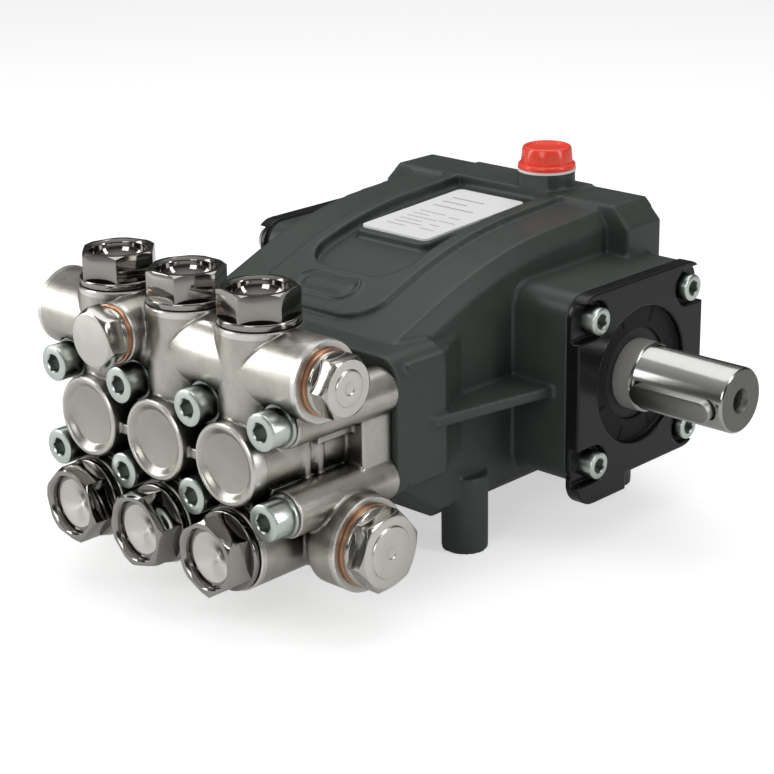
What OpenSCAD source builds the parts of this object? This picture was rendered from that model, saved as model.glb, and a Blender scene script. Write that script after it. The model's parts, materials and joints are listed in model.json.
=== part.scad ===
// Triplex plunger pump with a cast crankcase, a forged valve manifold and a keyed drive shaft.
// Origin: centre of the four tapped feet, on their underside. +X runs along the crankshaft to the
// drive end, +Y away from the manifold, +Z up. Every sub-part is drawn around the crank axis and
// then lifted into place by at_crank().

/* [Crank drive] */
// Distance between neighbouring plungers
plunger_pitch = 35; // [34:0.5:43]
// Crank throw, half the stroke
crank_throw = 5; // [4:0.25:6]
// Distance between the two eyes of a connecting rod
rod_length = 62; // [60:0.5:76]
// Diameter of the drive end of the shaft
shaft_d = 24; // [20:0.5:26]
// How far the shaft stands out of the drive side cover
shaft_reach = 43.2; // [34:0.2:60]
// Width of the parallel key
key_w = 8; // [6:1:8]
// Height of the crank axis over the feet
crank_z = 59; // [56:0.5:72]

/* [Crankcase] */
// Distance from the outer plungers to the side walls of the crankcase
side_room = 16; // [15.5:0.5:24]
// Length of the bearing housings beyond the body
housing_len = 25; // [24:0.5:32]
// Half side of the square side covers
cover_half = 36.5; // [35.5:0.5:44]
// Half spacing of the side cover screws
cover_screw = 27; // [26.5:0.25:30]
// Bearing outer diameter
bearing_od = 62; // [60:0.5:64]
// Bearing bore
bearing_id = 30; // [28:0.5:32]
// Bearing width
bearing_w = 16; // [14:0.5:18]
// Distance from the wrist pins' middle station to the manifold joint face
joint_ahead = 43; // [42:0.5:52]
// Distance from the side walls in to the centres of the feet
foot_inset = 4; // [2:0.5:8]
// Distance between the feet along the plungers
feet_dy = 85; // [76:1:90]
// Tap drill radius of the M8 threads
tap_m8 = 3.4; // [3.3:0.05:3.5]

/* [Manifold] */
// Depth of the manifold from the joint face to its front discs
head_depth = 56.2; // [55:0.2:66]
// Plunger diameter
plunger_d = 18; // [15:0.5:20]
// Radius of the vertical valve towers
tower_r = 14.4; // [14:0.1:16.5]
// Height of the tower tops over the plunger axis
tower_top = 45; // [42:0.5:52]
// Depth of the inlet valve axis under the plunger axis
inlet_drop = 30; // [29:0.5:36]
// Height of the outlet gallery over the plunger axis
outlet_rise = 31; // [29:0.5:34]
// How far the gallery bosses reach beyond the outer plungers
gallery_reach = 30; // [28:0.5:40]
// Radius of the outlet port thread
outlet_port_r = 7.5; // [6:0.1:8]
// Radius of the inlet port thread
inlet_port_r = 9.3; // [8:0.1:10.5]
// Height of the head bolt rows over and under the plunger axis
bolt_row = 15.6; // [15:0.1:18]
// Width across flats of the valve caps
cap_af = 24; // [23.5:0.5:27]

/* [Hidden] */
$fn = 48;

slack = 0.03;                       // running fit, on the radius
lay = 0.1;                          // free play between stacked pieces
cylinders = [-plunger_pitch, 0, plunger_pitch];
crank_angle = [210, 90, 330];       // rest angle of each throw, from +Y towards +Z

// Crank axis in the row's frame: the feet pattern is centred on the origin
foot_front = 57;                    // front feet ahead of the crank axis
crank_y = foot_front - feet_dy / 2;
body_half_w = plunger_pitch + side_room;
feet_dx = 2 * (body_half_w - foot_inset);
joint_y = rod_length + joint_ahead;
gallery_half = plunger_pitch + gallery_reach;
foot_r = 8.5;
foot_thread = 15;

// Crankshaft
pin_r = 13;
pin_len = 17;
web_r = 22;
rod_w = 16;
shoulder_r = 18;
pin_end = plunger_pitch + pin_len / 2;
web_end = pin_end + 8.5;
housing_face = body_half_w + housing_len;
bearing_out = housing_face - 4;
bearing_in = bearing_out - bearing_w;
bearing_r = bearing_od / 2;
journal_r = bearing_id / 2;
seal_journal_r = shaft_d / 2 + 1;
cover_t = 5.7;
gasket_t = 0.5;
cover_face = housing_face + gasket_t + cover_t;
journal_end = cover_face + 4.8;
shaft_end = cover_face + shaft_reach;
key_depth = 4;
key_proud = 3;
key_len = 34.4;
key_room = 1.9;                     // how much longer the slot is than the key
key_gap = 2.2;                      // shaft left plain outside the key slot
key_turn = 8.5;                     // degrees that the key sits under the -Y direction

// Bearing balls
ball_r = 4.5;
ball_count = 9;
ball_pitch_r = (bearing_r + journal_r) / 2;

// Crosshead and plunger, measured forwards from the wrist pin
skirt_r = 14;
skirt_back = 14;
skirt_bore_r = 12.5;
skirt_bore_end = 17;
skirt_front = 21;
stem_r = 7;
stem_end = 49;
plunger_len = 31;
wrist_r = 3.5;
small_eye_r = 6.5;
plunger_bolt_r = 3;
guide_back = 38;                    // mouth of the guide bores, ahead of the crank axis
guide_front = rod_length + crank_throw + skirt_front + 0.5;
oil_seal_len = 9;

// Crankcase outline, in the Y-Z plane
rear_face = 38;
floor_z = -42;
chamber_z = 38;
chamber_floor = -36;
case_wall = 7.5;
chamber_half = body_half_w - case_wall;
flange_half = plunger_pitch * 1.5 + 7;
flange_top = 27;
flange_bottom = -24;
flange_depth = 25;
pad_drop = 2.3;                     // shoulder of the case under the raised top pad
pad_half = 29;
recess_half = 22.8;
recess_drop = 4.2;
roof_bend = 180;                    // radius of the falling roof line
roof_rear_z = 55.3;
roof_flat_y = -10;
roof_slope0 = 3.2;
roof_slope1 = 21.8;
label_tilt = 2.9;
label_w = 33;
label_l = 56;
label_t = 0.8;
label_y = -15.2;
label_z = 49.3;
filler_x = 15;
filler_y = 27;
filler_r = 7;
filler_top = 60.8;

// Manifold
front_y = joint_y + head_depth;     // face of the front discs
valve_y = joint_y + 38.2;           // axis of the outlet valves
passage_y = joint_y + 42;
inlet_gallery_y = joint_y + 22;
disc_r = 14.4;
disc_dish = 1.8;
inlet_boss_r = 14.7;
inlet_face = joint_y + 54.4;
seat_r = 10;
chamber_r = 12;
outlet_seat_z = 15;
seat_len = 5.5;
inlet_seat_y = joint_y + 30.5;
bolt_xs = [-1.5, -0.5, 0.5, 1.5] * plunger_pitch;
bolt_tube_r = 8.2;
bolt_seat = head_depth - 9.6;       // front end of the bolt tubes, from the joint face
bolt_r = 4;
bolt_head_r = 6.5;
bolt_head_h = 8;
washer_t = 1.6;
packing_r = plunger_d / 2 + 4;
packing_len = 22;
gallery_r = 8;
outlet_boss_r = 13.9;
inlet_gallery_boss_r = 16.6;
flange_r = 14;
cap_hex_h = 9.4;
cap_flange_h = 2.2;
cap_seal_t = 0.6;
dish_r = 10;
cap_rim = cap_hex_h + cap_flange_h + cap_seal_t;
outlet_neck = 10;
inlet_neck = 8;
outlet_cap_turn = [-14, -29, 18];
inlet_cap_turn = [16, -16, 2];
spot_r = bolt_head_r + 1.3;         // spot face that seats each head bolt and washer
front_boss_z = outlet_rise + 3.3;
front_boss_end = valve_y + 18.3;
front_port_r = 5.5;
inlet_port_depth = 9.6;
inlet_port_face = gallery_half + 1.6;

// Colours
cast_black = [0.14, 0.16, 0.15];
gloss_black = [0.04, 0.04, 0.045];
nickel = [0.72, 0.71, 0.68];
dark_nickel = [0.38, 0.37, 0.36];
zinc = [0.74, 0.8, 0.76];
ground_steel = [0.62, 0.61, 0.6];
copper = [0.72, 0.42, 0.26];
brass = [0.78, 0.62, 0.3];
rubber = [0.08, 0.08, 0.08];
ceramic = [0.93, 0.92, 0.88];
cap_red = [0.85, 0.1, 0.07];
label_white = [0.93, 0.93, 0.92];

// ---------------------------------------------------------------- helpers

module at_crank() { translate([0, crank_y, crank_z]) children(); }

// Round bars along X, Y and Z between two stations
module bar_x(x0, x1, r) { translate([x0, 0, 0]) rotate([0, 90, 0]) cylinder(h = x1 - x0, r = r); }
module bar_y(y0, y1, r) { translate([0, y1, 0]) rotate([90, 0, 0]) cylinder(h = y1 - y0, r = r); }
module bar_z(z0, z1, r) { translate([0, 0, z0]) cylinder(h = z1 - z0, r = r); }

module block(lo, hi) { translate(lo) cube(hi - lo); }

// A flat outline in the Y-Z plane, given thickness along X
module slab_x(x0, x1) {
    translate([x0, 0, 0]) rotate([90, 0, 90]) linear_extrude(height = x1 - x0) children();
}

// A flat outline in the X-Z plane, given thickness along Y
module slab_y(y0, y1) {
    translate([0, y1, 0]) rotate([90, 0, 0]) linear_extrude(height = y1 - y0) children();
}

// A flat rectangle with round corners
module round_rect(x0, x1, y0, y1, r) {
    translate([x0 + r, y0]) square([x1 - x0 - 2 * r, y1 - y0]);
    translate([x0, y0 + r]) square([x1 - x0, y1 - y0 - 2 * r]);
    for (x = [x0 + r, x1 - r], y = [y0 + r, y1 - r]) translate([x, y]) circle(r = r);
}

// A hexagon prism with chamfered corners, standing on the X-Y plane
module hex_prism(af, h, top = 0.9, bottom = 0) {
    intersection() {
        rotate([0, 0, 30]) cylinder(h = h, r = af / sqrt(3), $fn = 6);
        rotate_extrude() polygon([
            [0, 0], [af / sqrt(3) - bottom, 0], [af / sqrt(3) + 0.1, bottom + 0.1],
            [af / sqrt(3) + 0.1, h - top - 0.1], [af / 2 - 0.2, h], [0, h]
        ]);
    }
}

module both_sides() { children(); mirror([1, 0, 0]) children(); }

// A ring between two radii, lying on the X-Y plane
module ring(r_in, r_out, h) {
    difference() {
        cylinder(h = h, r = r_out);
        translate([0, 0, -1]) cylinder(h = h + 2, r = r_in);
    }
}

// Turns a piece drawn along +Z so that it runs along -Y, and moves it to a front station
module facing_front(y) { translate([0, -y, 0]) rotate([90, 0, 0]) children(); }

// Turns a piece drawn along +Z so that it runs along +X
module facing_drive(x) { translate([x, 0, 0]) rotate([0, 90, 0]) children(); }

// A coil spring as a swept tube
module coil_spring(r, wire, length, turns) {
    steps = 12;
    sides = 6;
    n = turns * steps;
    rise = length - 2 * wire;
    points = [
        for (i = [0:n], j = [0:sides - 1])
        let (a = 360 * i / steps, b = 360 * j / sides, q = r + wire * cos(b))
        [q * cos(a), q * sin(a), wire + rise * i / n + wire * sin(b)]
    ];
    walls = [
        for (i = [0:n - 1], j = [0:sides - 1])
        let (k = (j + 1) % sides)
        [i * sides + j, i * sides + k, (i + 1) * sides + k, (i + 1) * sides + j]
    ];
    ends = [[for (j = [sides - 1:-1:0]) j], [for (j = [0:sides - 1]) n * sides + j]];
    polyhedron(points = points, faces = concat(walls, ends));
}

// ---------------------------------------------------------------- crankcase

// Roof line of the top pad: flat at the back, bending down towards the manifold
function roof_arc(drop) = [
    for (i = [0:8])
    let (a = roof_slope0 + (roof_slope1 - roof_slope0) * i / 8)
    [roof_flat_y - roof_bend * (sin(a) - sin(roof_slope0)),
     roof_at_bend - roof_bend * (cos(roof_slope0) - cos(a)) - drop]
];
roof_at_bend = roof_rear_z - (rear_face - roof_flat_y) * tan(roof_slope0);
roof_low = roof_arc(0)[8];
roof_front_y = -joint_y + 8;
roof_front_z = roof_low[1] - (roof_low[0] - roof_front_y) * tan(roof_slope1);

// Side outline of the case under that roof line
module case_outline(drop, base) {
    polygon(concat(
        [[rear_face, floor_z + base], [rear_face, roof_rear_z - drop]],
        roof_arc(drop),
        [[roof_front_y, roof_front_z - drop], [roof_front_y, flange_bottom + 2],
         [roof_front_y + 22, floor_z + base]]
    ));
}

module pad_plan(half, front, corner, back) {
    translate([-half, front + corner]) square([2 * half, back - front - corner]);
    translate([-half + corner, front]) square([2 * (half - corner), corner + 1]);
    for (s = [-1, 1]) translate([s * (half - corner), front + corner]) circle(r = corner);
}

module bearing_housing_plan() {
    round_rect(-cover_half + 1.2, cover_half - 1.2, -cover_half + 1.6, cover_half - 0.6, 8);
}

// Raised oval ring on the front slope, left plain
module front_badge() {
    translate([0, roof_low[0] - 10.5, roof_low[1] - 10.5 * tan(roof_slope1) - 1])
        rotate([roof_slope1, 0, 0]) {
            linear_extrude(height = 1.9) difference() {
                stadium(8.5, 6.4);
                stadium(8.5, 5.2);
            }
            linear_extrude(height = 1.4) stadium(8, 2.6);
        }
}

module stadium(half, r) {
    translate([-half, -r]) square([2 * half, 2 * r]);
    for (s = [-1, 1]) translate([s * half, 0]) circle(r = r);
}

module crankcase_outside() {
    hull() {
        slab_x(-body_half_w + 4, body_half_w - 4) case_outline(pad_drop, 0);
        slab_x(-body_half_w, body_half_w) case_outline(pad_drop + 6, 4);
    }
    intersection() {
        slab_x(-pad_half, pad_half) case_outline(0, 0);
        linear_extrude(height = 80) pad_plan(pad_half, -joint_y + 16, 13, rear_face);
    }
    // Head flange that carries the manifold
    slab_y(-joint_y, -joint_y + flange_depth)
        round_rect(-flange_half, flange_half, flange_bottom, flange_top, 8);
    // Flare between the flange and the side walls
    both_sides() translate([0, 0, flange_bottom + 4]) linear_extrude(height = flange_top - flange_bottom - 7)
        polygon([
            [body_half_w - 6, -joint_y + 6], [flange_half, -joint_y + 6],
            [flange_half, -joint_y + flange_depth - 1], [flange_half - 2, -joint_y + flange_depth + 3],
            [flange_half - 5.5, -joint_y + flange_depth + 8], [body_half_w - 0.5, -joint_y + flange_depth + 18],
            [body_half_w - 6, -joint_y + flange_depth + 18]
        ]);
    // Square bearing housings
    both_sides() slab_x(body_half_w - 6, housing_face) bearing_housing_plan();
    // Raised block across the back, with sloping ends
    slab_y(18, rear_face) polygon([
        [-54, roof_rear_z - 0.8], [54, roof_rear_z - 0.8], [61, 47], [61, 30], [-61, 30], [-61, 47]
    ]);
    // Horizontal stiffening webs between the housings and the flange
    both_sides() translate([0, 0, -2]) linear_extrude(height = 4) polygon([
        [body_half_w - 4, -cover_half + 8], [housing_face - 6, -cover_half + 8],
        [housing_face - 6, -cover_half + 0.4], [flange_half + 1, -joint_y + flange_depth - 8],
        [body_half_w - 4, -joint_y + flange_depth - 8]
    ]);
    // Feet
    for (x = [-1, 1], y = [-foot_front, feet_dy - foot_front])
        translate([x * feet_dx / 2, y, 0]) bar_z(-crank_z, -30, foot_r);
    // Filler neck
    translate([filler_x, filler_y, 0]) bar_z(50, filler_top, filler_r + 3.9);
    front_badge();
}

rear_posts = [
    for (x = [-1, 1], z = [chamber_floor + 1, 42]) [x * (chamber_half + 0.5), z]
];
rear_screws = concat(rear_posts, [[0, 46.5], [0, chamber_floor - 2.5]]);
rear_tap = 1.65;
rear_hole = 2.05;

module crankcase_inside() {
    // Crank chamber, open at the back, with a screw post in each corner
    difference() {
        block([-chamber_half, -guide_back, chamber_floor], [chamber_half, rear_face + 1, chamber_z]);
        for (p = rear_posts) translate([p[0], 0, p[1]]) bar_y(rear_face - 16, rear_face + 2, 5);
    }
    // Cores over and under the crosshead guides
    block([-chamber_half, -joint_y + 27, 17.5], [chamber_half, -guide_back + 1, 26]);
    block([-chamber_half, -joint_y + 36, chamber_floor], [chamber_half, -guide_back + 1, -17.5]);
    bar_x(-housing_face - 1, housing_face + 1, bearing_r);
    for (x = cylinders) translate([x, 0, 0]) {
        bar_y(-guide_front, -guide_back + 1, skirt_r + slack);
        bar_y(-joint_y - 1, -guide_front + 1, stem_r + 2);
        bar_y(-joint_y - 1, -joint_y + oil_seal_len, packing_r);
    }
    for (x = bolt_xs, z = [-1, 1] * bolt_row)
        translate([x, 0, z]) bar_y(-joint_y - 1, -joint_y + 19, tap_m8);
    for (y = [-1, 1] * cover_screw, z = [-1, 1] * cover_screw) translate([0, y, z]) both_sides()
        bar_x(housing_face - 14, housing_face + 1, 2.5);
    for (p = rear_screws) translate([p[0], 0, p[1]]) bar_y(rear_face - 11, rear_face + 1, rear_tap);
    for (x = [-1, 1], y = [-foot_front, feet_dy - foot_front])
        translate([x * feet_dx / 2, y, 0]) bar_z(-crank_z - 1, -crank_z + foot_thread, tap_m8);
    translate([filler_x, filler_y, 0]) bar_z(chamber_z - 1, filler_top + 1, filler_r);
}

// Floor of the recess in the top pad, and the flat bed for the plate
module top_recess() {
    difference() {
        intersection() {
            linear_extrude(height = 80) pad_plan(recess_half, roof_low[0] - 1.5, 13, 19);
            slab_x(-recess_half, recess_half) difference() {
                translate([-joint_y, 20]) square([joint_y + rear_face, 50]);
                case_outline(recess_drop, 0);
            }
        }
        at_label(-20) linear_extrude(height = 20 - label_t)
            round_rect(-label_w / 2 - 1.5, label_w / 2 + 1.5, -label_l / 2 - 2, label_l / 2 + 1.5, 3);
    }
}

module at_label(z) {
    translate([0, label_y, label_z]) rotate([label_tilt, 0, 0]) translate([0, 0, z]) children();
}

module crankcase() {
    color(cast_black) at_crank() difference() {
        crankcase_outside();
        crankcase_inside();
        top_recess();
    }
}

module identification_plate() {
    color(label_white) at_crank() at_label(-label_t + 0.02) linear_extrude(height = label_t)
        round_rect(-label_w / 2, label_w / 2, -label_l / 2, label_l / 2, 2.5);
}

// ---------------------------------------------------------------- rear cover

rear_gasket_t = 0.6;
rear_cover_t = 5;
glass_z = -8;
glass_r = 9;
drain_x = 26;
drain_z = -24;
drain_r = 4.1;

module rear_plan() { round_rect(-body_half_w + 0.8, body_half_w - 0.8, floor_z + 0.1, 51.5, 7); }

module rear_holes(y0, y1, r) {
    for (p = rear_screws) translate([p[0], 0, p[1]]) bar_y(y0, y1, r);
}

module rear_cover() {
    y0 = rear_face + rear_gasket_t;
    color(cast_black) at_crank() difference() {
        union() {
            slab_y(y0, y0 + rear_cover_t) rear_plan();
            // Stiffening ribs and the raised glass and drain bosses
            for (z = [16, 30]) block([-34, y0 + 1, z - 1.5], [34, y0 + rear_cover_t + 2, z + 1.5]);
            translate([0, 0, glass_z]) bar_y(y0 + 1, y0 + rear_cover_t + 3, glass_r + 4.5);
            translate([drain_x, 0, drain_z]) bar_y(y0 + 1, y0 + rear_cover_t + 2.4, drain_r + 4.5);
        }
        rear_holes(y0 - 1, y0 + rear_cover_t + 4, rear_hole);
        translate([0, 0, glass_z]) bar_y(y0 - 1, y0 + rear_cover_t + 4, glass_r);
        translate([drain_x, 0, drain_z]) bar_y(y0 - 1, y0 + rear_cover_t + 4, drain_r);
    }
}

module case_gaskets() {
    color(rubber) at_crank() both_sides() difference() {
        slab_x(housing_face, housing_face + gasket_t) bearing_housing_plan();
        bar_x(housing_face - 1, housing_face + 1, bearing_r);
        for (y = [-1, 1], z = [-1, 1]) translate([0, y * cover_screw, z * cover_screw])
            bar_x(housing_face - 1, housing_face + 1, 3.3);
    }
    color(rubber) at_crank() difference() {
        slab_y(rear_face, rear_face + rear_gasket_t) rear_plan();
        difference() {
            block([-chamber_half, rear_face - 1, chamber_floor],
                  [chamber_half, rear_face + 2, chamber_z]);
            for (p = rear_posts) translate([p[0], 0, p[1]]) bar_y(rear_face - 2, rear_face + 3, 5);
        }
        rear_holes(rear_face - 1, rear_face + 2, rear_hole);
    }
}

module rear_cover_screws() {
    seat = rear_face + rear_gasket_t + rear_cover_t;
    color(zinc) at_crank() for (p = rear_screws) translate([p[0], 0, p[1]]) difference() {
        union() {
            bar_y(rear_face - 9, rear_face + 1, rear_tap - 0.05);
            bar_y(rear_face + 0.02, seat + 0.5, 1.9);
            bar_y(seat, seat + 4, 3.5);
        }
        translate([0, seat + 4.5, 0]) rotate([90, 0, 0]) cylinder(h = 2.7, r = 1.75, $fn = 6);
    }
}

module sight_glass() {
    y0 = rear_face + rear_gasket_t + rear_cover_t + 3;
    color(nickel) at_crank() translate([0, 0, glass_z]) {
        difference() {
            union() {
                bar_y(y0 - 6, y0 + 0.01, glass_r - 0.05);
                bar_y(y0, y0 + 2, glass_r + 2.5);
            }
            bar_y(y0 - 7, y0 + 1, glass_r - 3);
            bar_y(y0 + 0.5, y0 + 3, glass_r - 2);
        }
        bar_y(y0 - 5, y0 - 2, glass_r - 3.05);
    }
}

module oil_drain_plug() {
    y0 = rear_face + rear_gasket_t + rear_cover_t + 2.4;
    color(zinc) at_crank() translate([drain_x, y0, drain_z]) rotate([-90, 0, 0]) {
        cylinder(h = 1.6, r = drain_r + 3.2);
        translate([0, 0, -7]) cylinder(h = 7.5, r = drain_r - 0.05);
        translate([0, 0, 1.5]) hex_prism(11, 5);
    }
}

// ---------------------------------------------------------------- side covers

pocket_r = 7;
pocket_floor = cover_face - 3.4;
cover_spigot_r = bearing_r - 0.05;
seal_r = seal_journal_r + 7;
seal_len = 5.4;
recess_r = 25.5;
hole_r = seal_journal_r + 4;

module cover_plan() {
    round_rect(-cover_half, cover_half, -cover_half + 0.6, cover_half, 9.5);
    // Drain lobe under the front lower screw
    translate([-cover_screw, -cover_screw - 6]) circle(r = 9.2);
    translate([-cover_screw, -cover_screw - 15.2]) square([19, 16]);
}

module side_cover_blank() {
    difference() {
        union() {
            slab_x(housing_face + gasket_t, cover_face) cover_plan();
            bar_x(bearing_out + lay, housing_face + gasket_t + 1, cover_spigot_r);
        }
        for (y = [-1, 1], z = [-1, 1]) {
            translate([0, y * cover_screw, z * cover_screw]) {
                bar_x(bearing_out, cover_face + 1, 3.3);
                bar_x(pocket_floor, cover_face + 1, pocket_r);
            }
            block([pocket_floor, y * cover_screw - (y < 0 ? 12 : 0), z * cover_screw - pocket_r],
                  [cover_face + 1, y * cover_screw + (y < 0 ? 0 : 12), z * cover_screw + pocket_r]);
        }
    }
}

module drive_side_cover() {
    color(gloss_black) at_crank() difference() {
        side_cover_blank();
        bar_x(cover_face - 2.6, cover_face + 1, recess_r);
        bar_x(housing_face, cover_face, hole_r);
        bar_x(bearing_out - 1, cover_face - 3.6, seal_r);
        bar_x(bearing_out - 1, bearing_out + 1, bearing_r - 4);
        // Radial grooves in the recess floor
        for (i = [0:7]) rotate([22.5 + 45 * i, 0, 0])
            block([cover_face - 3.2, hole_r + 2.5, -0.6], [cover_face, hole_r + 8, 0.6]);
    }
}

module blind_side_cover() {
    color(gloss_black) at_crank() mirror([1, 0, 0]) difference() {
        side_cover_blank();
        bar_x(cover_face - 1.6, cover_face + 1, recess_r);
        bar_x(bearing_out - 1, housing_face, bearing_r - 4);
    }
}

module side_cover_screws() {
    color(zinc) at_crank() both_sides() for (y = [-1, 1], z = [-1, 1])
        translate([0, y * cover_screw, z * cover_screw]) difference() {
            union() {
                bar_x(housing_face - 12, housing_face, 2.45);
                bar_x(housing_face - 1, pocket_floor + 1, 2.4);
                bar_x(pocket_floor, pocket_floor + 6, 5);
            }
            facing_drive(pocket_floor + 2.8) cylinder(h = 4, r = 2.9, $fn = 6);
        }
}

module shaft_oil_seal() {
    color(rubber) at_crank() facing_drive(cover_face - 3.6 - lay - seal_len)
        difference() {
            ring(seal_journal_r + slack, seal_r - 0.05, seal_len);
            translate([0, 0, -1]) ring(seal_journal_r + 1.6, seal_r - 2.2, 4);
        }
}

// ---------------------------------------------------------------- bearings

module race(r_in, r_out) {
    facing_drive(bearing_in) rotate_extrude() difference() {
        translate([r_in, 0]) square([r_out - r_in, bearing_w]);
        translate([ball_pitch_r, bearing_w / 2]) circle(r = ball_r + 0.06);
    }
}

module bearing_outer_rings() {
    color(ground_steel) at_crank() both_sides() race(ball_pitch_r + 2.6, bearing_r - 0.02);
}

module bearing_inner_rings() {
    color(ground_steel) at_crank() both_sides() race(journal_r + 0.01, ball_pitch_r - 2.6);
}

module bearing_cages() {
    middle = bearing_in + bearing_w / 2;
    color(brass) at_crank() both_sides() difference() {
        facing_drive(middle - 3) ring(ball_pitch_r - 1.6, ball_pitch_r + 1.6, 6);
        for (i = [0:ball_count - 1]) rotate([360 / ball_count * i, 0, 0])
            translate([middle, ball_pitch_r, 0]) sphere(r = ball_r + 0.12);
    }
    color(ground_steel) at_crank() both_sides()
        for (i = [0:ball_count - 1]) rotate([360 / ball_count * i, 0, 0])
            translate([middle, ball_pitch_r, 0]) sphere(r = ball_r);
}

// ---------------------------------------------------------------- crankshaft

function throw_at(i) = [cylinders[i], crank_throw * cos(crank_angle[i]), crank_throw * sin(crank_angle[i])];

module at_throw(i) { translate(throw_at(i)) children(); }

module key_form(r0, r1, w, l) {
    rotate([key_turn, 0, 0]) translate([shaft_end - key_gap - (key_len + key_room) / 2, -r0, 0]) rotate([90, 0, 0])
        linear_extrude(height = r1 - r0) {
            square([l - w, w], center = true);
            for (s = [-1, 1]) translate([s * (l - w) / 2, 0]) circle(r = w / 2);
        }
}

module crankshaft() {
    color(ground_steel) at_crank() difference() {
        union() {
            bar_x(-bearing_out, -bearing_in + 1, journal_r);
            bar_x(-bearing_in, -web_end + 1, shoulder_r);
            for (i = [0:2]) at_throw(i) bar_x(-pin_len / 2 - 1, pin_len / 2 + 1, pin_r);
            bar_x(-web_end, -pin_end, web_r);
            both_sides() bar_x(pin_len / 2, plunger_pitch - pin_len / 2, web_r);
            bar_x(pin_end, web_end, web_r);
            bar_x(web_end - 1, bearing_in, shoulder_r);
            bar_x(bearing_in - 1, bearing_out, journal_r);
            bar_x(bearing_out - 1, journal_end - 0.8, seal_journal_r);
            facing_drive(journal_end - 0.8)
                cylinder(h = 0.8, r1 = seal_journal_r, r2 = seal_journal_r - 0.8);
            bar_x(journal_end - 1, shaft_end - 1, shaft_d / 2);
            facing_drive(shaft_end - 1) cylinder(h = 1, r1 = shaft_d / 2, r2 = shaft_d / 2 - 0.8);
        }
        key_form(shaft_d / 2 - key_depth, shaft_d / 2 + 2, key_w + 0.1, key_len + key_room);
        bar_x(shaft_end - 18, shaft_end + 1, tap_m8);
        facing_drive(shaft_end - 1.2) cylinder(h = 1.3, r1 = tap_m8, r2 = tap_m8 + 1.2);
    }
}

module drive_key() {
    color(ground_steel) at_crank() translate([-lay, 0, 0])
        key_form(shaft_d / 2 - key_depth + 0.02, shaft_d / 2 + key_proud, key_w, key_len);
}

// ---------------------------------------------------------------- connecting rods

lug_z = 17.4;
eye_r = 18;

module rod_lugs(y0, y1) {
    for (z = [-1, 1]) block([-rod_w / 2, y0, z * lug_z - 4], [rod_w / 2, y1, z * lug_z + 4]);
}

module conrod(i) {
    color(nickel) at_crank() at_throw(i) difference() {
        union() {
            intersection() {
                bar_x(-rod_w / 2, rod_w / 2, eye_r);
                block([-rod_w, -eye_r - 1, -eye_r - 1], [rod_w, 0, eye_r + 1]);
            }
            rod_lugs(-11, 0);
            block([-4.5, -rod_length, -4.5], [4.5, -pin_r - 2, 4.5]);
            translate([0, -rod_length, 0]) bar_x(-4.5, 4.5, small_eye_r);
        }
        bar_x(-rod_w, rod_w, pin_r + slack + 0.01);
        translate([0, -rod_length, 0]) bar_x(-rod_w, rod_w, wrist_r + 0.01);
        for (z = [-1, 1] * lug_z) translate([0, 0, z]) bar_y(-9, 1, 2.5);
    }
}

module conrod_cap(i) {
    color(nickel) at_crank() at_throw(i) difference() {
        union() {
            intersection() {
                bar_x(-rod_w / 2, rod_w / 2, eye_r);
                block([-rod_w, 0, -eye_r - 1], [rod_w, eye_r + 1, eye_r + 1]);
            }
            rod_lugs(0, 8);
        }
        bar_x(-rod_w, rod_w, pin_r + slack + 0.01);
        for (z = [-1, 1] * lug_z) translate([0, 0, z]) {
            bar_y(-1, 10, 2.8);
            bar_y(8, 20, 4.4);
        }
    }
}

module conrod_screws(i) {
    color(zinc) at_crank() at_throw(i) for (z = [-1, 1] * lug_z) translate([0, 0, z]) difference() {
        union() {
            bar_y(-8, 8.5, 2.45);
            bar_y(8, 13, 4.2);
        }
        translate([0, 13.5, 0]) rotate([90, 0, 0]) cylinder(h = 3.2, r = 2.3, $fn = 6);
    }
}

module wrist_pin(i) {
    color(ground_steel) at_crank() at_throw(i) translate([0, -rod_length, 0]) bar_x(-8, 8, wrist_r);
}

// ---------------------------------------------------------------- crossheads and plungers

module at_crosshead(i) {
    translate([cylinders[i], throw_at(i)[1] - rod_length, 0]) rotate([90, 0, 0]) children();
}

module crosshead(i) {
    color(nickel) at_crank() at_crosshead(i) difference() {
        union() {
            translate([0, 0, -skirt_back]) cylinder(h = skirt_back + skirt_front, r = skirt_r);
            cylinder(h = stem_end, r = stem_r);
        }
        translate([0, 0, -skirt_back - 1])
            cylinder(h = skirt_back + 1 + skirt_bore_end, r = skirt_bore_r);
        translate([0, 0, skirt_front + 2]) cylinder(h = stem_end, r = plunger_bolt_r + 0.05);
    }
}

module plunger(i) {
    color(ceramic) at_crank() at_crosshead(i) translate([0, 0, stem_end])
        ring(plunger_bolt_r + 0.3, plunger_d / 2, plunger_len);
}

module plunger_bolt(i) {
    color(zinc) at_crank() at_crosshead(i) {
        translate([0, 0, stem_end - 22]) cylinder(h = plunger_len + 23, r = plunger_bolt_r);
        translate([0, 0, stem_end + plunger_len]) {
            cylinder(h = 1, r = plunger_d / 2 - 1.2);
            translate([0, 0, 1]) hex_prism(11, 3.6, 0.5);
        }
    }
}

module rod_oil_seals() {
    color(rubber) at_crank() for (x = cylinders) translate([x, 0, 0])
        facing_front(joint_y - oil_seal_len + lay) difference() {
            ring(stem_r + slack, packing_r - 0.05, oil_seal_len - 2 * lay);
            translate([0, 0, -1]) ring(stem_r + 1.2, packing_r - 2, 3.5);
        }
}

// Stack of brass guide rings and rubber packings behind the plunger bore
module packing_ring(from, len) {
    for (x = cylinders) translate([x, 0, 0])
        facing_front(joint_y + from) ring(plunger_d / 2 + slack, packing_r - 0.05, len);
}

module packing_guide_rings() {
    color(brass) at_crank() {
        packing_ring(lay, 7);
        packing_ring(12.6, 3);
    }
}

module plunger_packings() {
    color(rubber) at_crank() {
        packing_ring(7.3, 5.1);
        packing_ring(15.8, 6);
    }
}

// ---------------------------------------------------------------- valve manifold

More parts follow.
